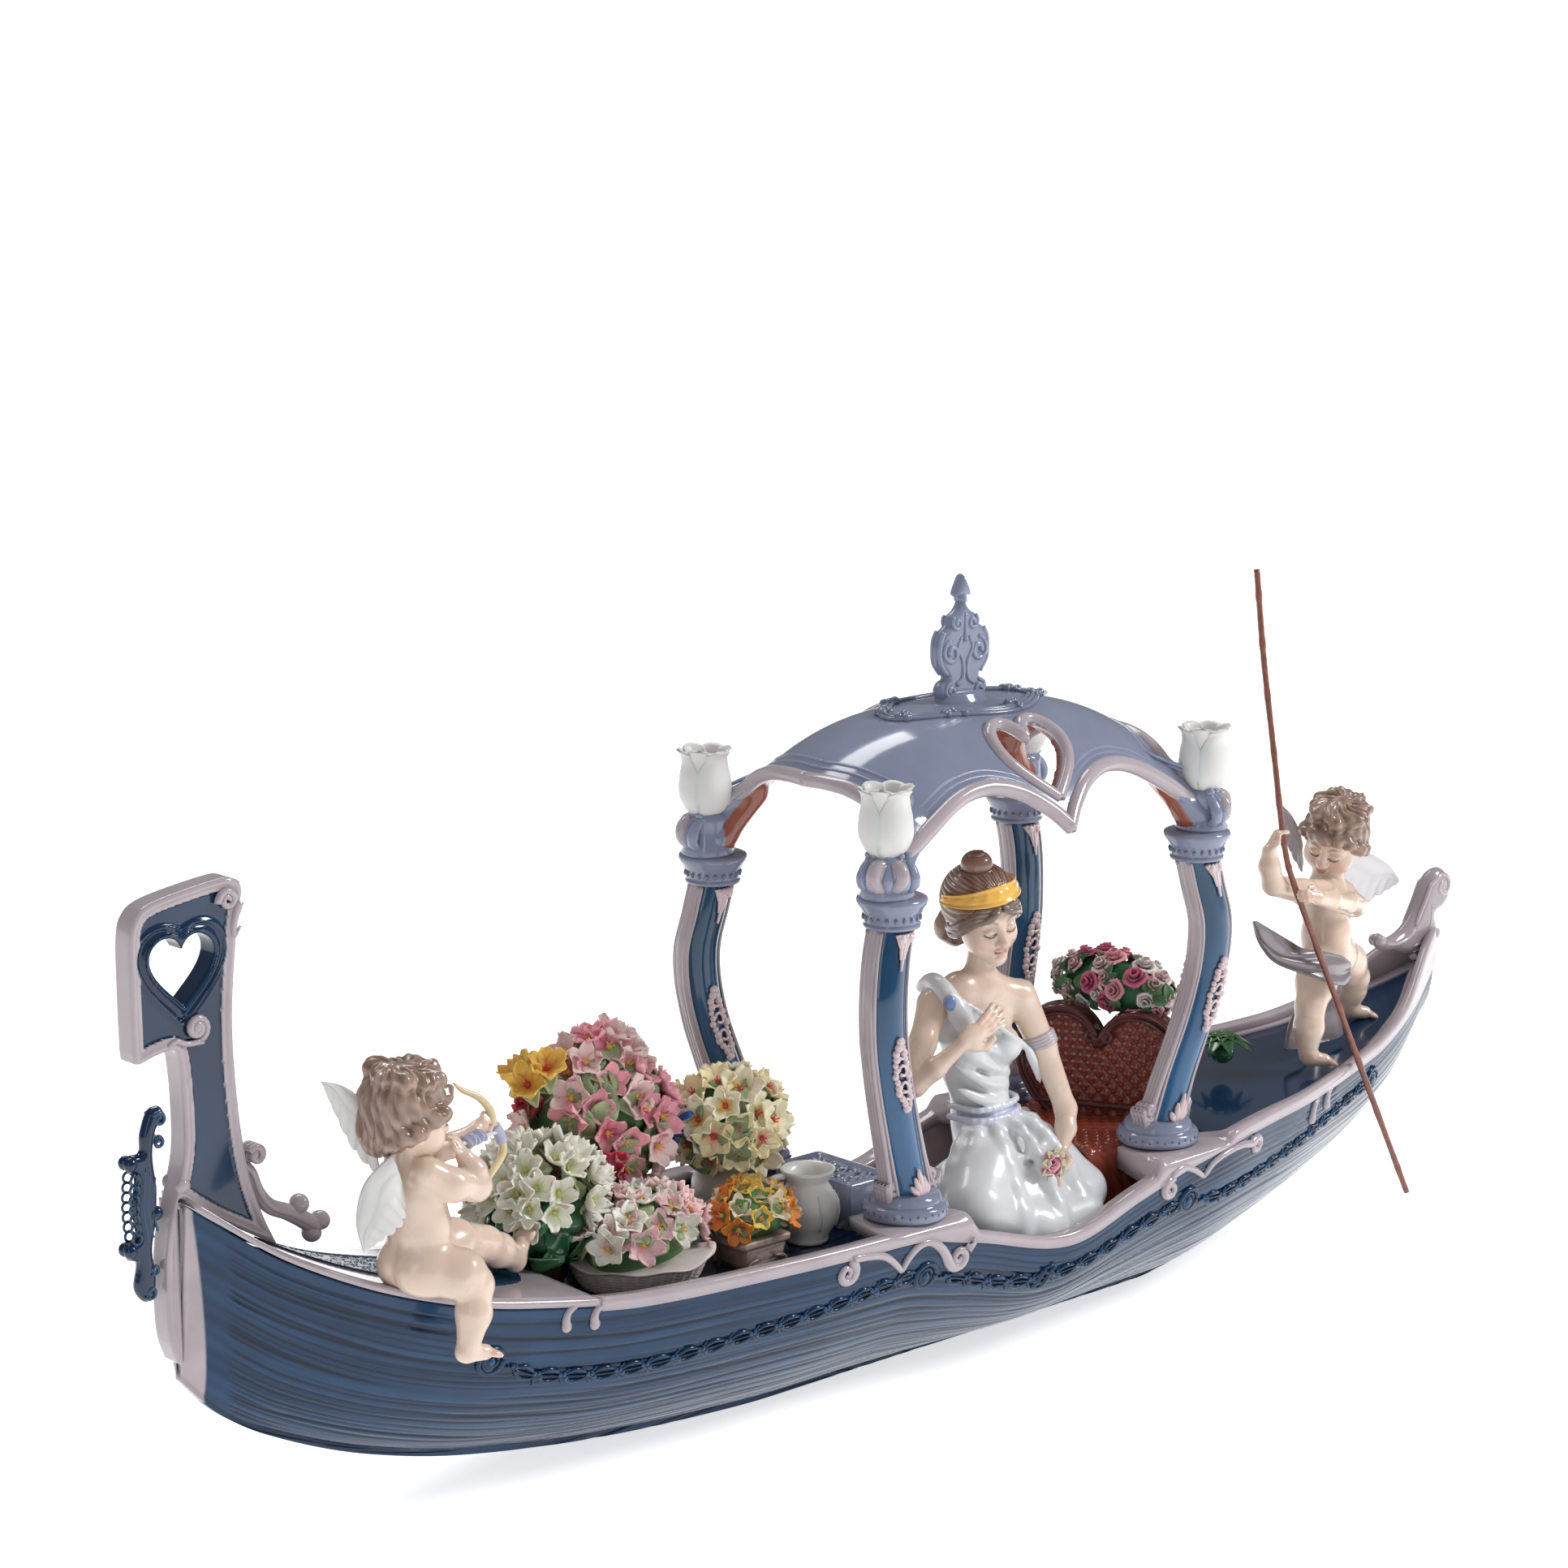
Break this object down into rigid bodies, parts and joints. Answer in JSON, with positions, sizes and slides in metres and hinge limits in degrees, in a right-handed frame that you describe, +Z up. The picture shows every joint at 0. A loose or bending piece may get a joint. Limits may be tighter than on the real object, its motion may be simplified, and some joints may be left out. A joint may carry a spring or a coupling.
{
  "type": "porcelain gondola figurine",
  "caption": "Decorated gondola figurine with a canopied cabin, a seated lady, winged cherubs, flower pots and a loose punt pole.",
  "frame": {"origin": "on the flat underside of the hull, on the centreline, straight below the middle of the canopy", "axes": "+X towards the stern, +Y towards the side away from the lady's posy, +Z up; the bow points to -X"},
  "size_m": [0.828, 0.157, 0.3604],
  "materials": {
    "porcelain_navy": "deep blue glossy glaze",
    "porcelain_column_blue": "mid blue glossy glaze",
    "porcelain_mauve": "mauve grey glossy glaze",
    "porcelain_blue_grey": "blue grey glossy glaze",
    "porcelain_white": "white satin glaze",
    "porcelain_skin": "pale skin tone satin glaze",
    "porcelain_hair": "brown satin glaze",
    "porcelain_maroon": "maroon red glossy glaze",
    "porcelain_pink": "matte bisque flowers in pinks and whites",
    "porcelain_yellow": "matte bisque flowers in yellows and orange",
    "porcelain_cream": "matte bisque flowers in cream and yellow",
    "porcelain_leaf": "matte bisque leaves",
    "porcelain_reed": "woven grey brown satin glaze",
    "porcelain_brown": "brown satin glaze",
    "pole_brown": "knotted reddish brown, satin"
  },
  "bodies": {
    "gondola": {"hull_shell": "porcelain_navy", "gunwale_rail_near": "porcelain_mauve", "gunwale_rail_far": "porcelain_mauve", "bow_deck": "porcelain_mauve", "bow_deck_inlay": "porcelain_navy", "stern_deck": "porcelain_navy", "cargo_floor": "porcelain_navy", "cabin_floor": "porcelain_mauve", "cabin_step": "porcelain_blue_grey", "bow_post": "porcelain_navy", "bow_comb": "porcelain_navy", "bow_bracket": "porcelain_mauve", "stern_scroll": "porcelain_mauve", "column_bow_near": "porcelain_column_blue", "plinth_bow_near": "porcelain_blue_grey", "capital_bow_near": "porcelain_blue_grey", "column_bow_far": "porcelain_column_blue", "plinth_bow_far": "porcelain_blue_grey", "capital_bow_far": "porcelain_blue_grey", "column_stern_near": "porcelain_column_blue", "plinth_stern_near": "porcelain_blue_grey", "capital_stern_near": "porcelain_blue_grey", "column_stern_far": "porcelain_column_blue", "plinth_stern_far": "porcelain_blue_grey", "capital_stern_far": "porcelain_blue_grey", "canopy_vault": "porcelain_blue_grey", "crown_collar": "porcelain_blue_grey", "finial": "porcelain_blue_grey", "tulip_bow_near": "porcelain_white", "tulip_bow_far": "porcelain_white", "tulip_stern_near": "porcelain_white", "tulip_stern_far": "porcelain_white", "sofa_back": "porcelain_maroon", "sofa_seat": "porcelain_maroon", "rose_planter": "porcelain_pink", "lady_body": "porcelain_white", "lady_head": "porcelain_hair", "lady_rose_posy": "porcelain_pink", "archer_body": "porcelain_skin", "archer_head": "porcelain_hair", "archer_wing_far": "porcelain_white", "archer_wing_near": "porcelain_white", "archer_bow": "porcelain_cream", "gondolier_body": "porcelain_skin", "gondolier_head": "porcelain_hair", "gondolier_wing_far": "porcelain_white", "gondolier_wing_near": "porcelain_white", "gondolier_drape": "porcelain_mauve", "reed_basket": "porcelain_reed", "basket_flowers": "porcelain_pink", "wooden_crate": "porcelain_brown", "crate_flowers": "porcelain_yellow", "milk_jug": "porcelain_white", "white_pot": "porcelain_white", "pot_flowers": "porcelain_cream", "flower_mound": "porcelain_pink", "dark_tub": "porcelain_brown", "leafy_plant": "porcelain_leaf"},
    "pole": {"pole": "pole_brown"}
  },
  "joints": [
    {"name": "pole_lift", "type": "slide", "parent": "gondola", "child": "pole", "axis": [-0.3535, 0.148, 0.9236], "range_m": [0, 0.2]}
  ]
}
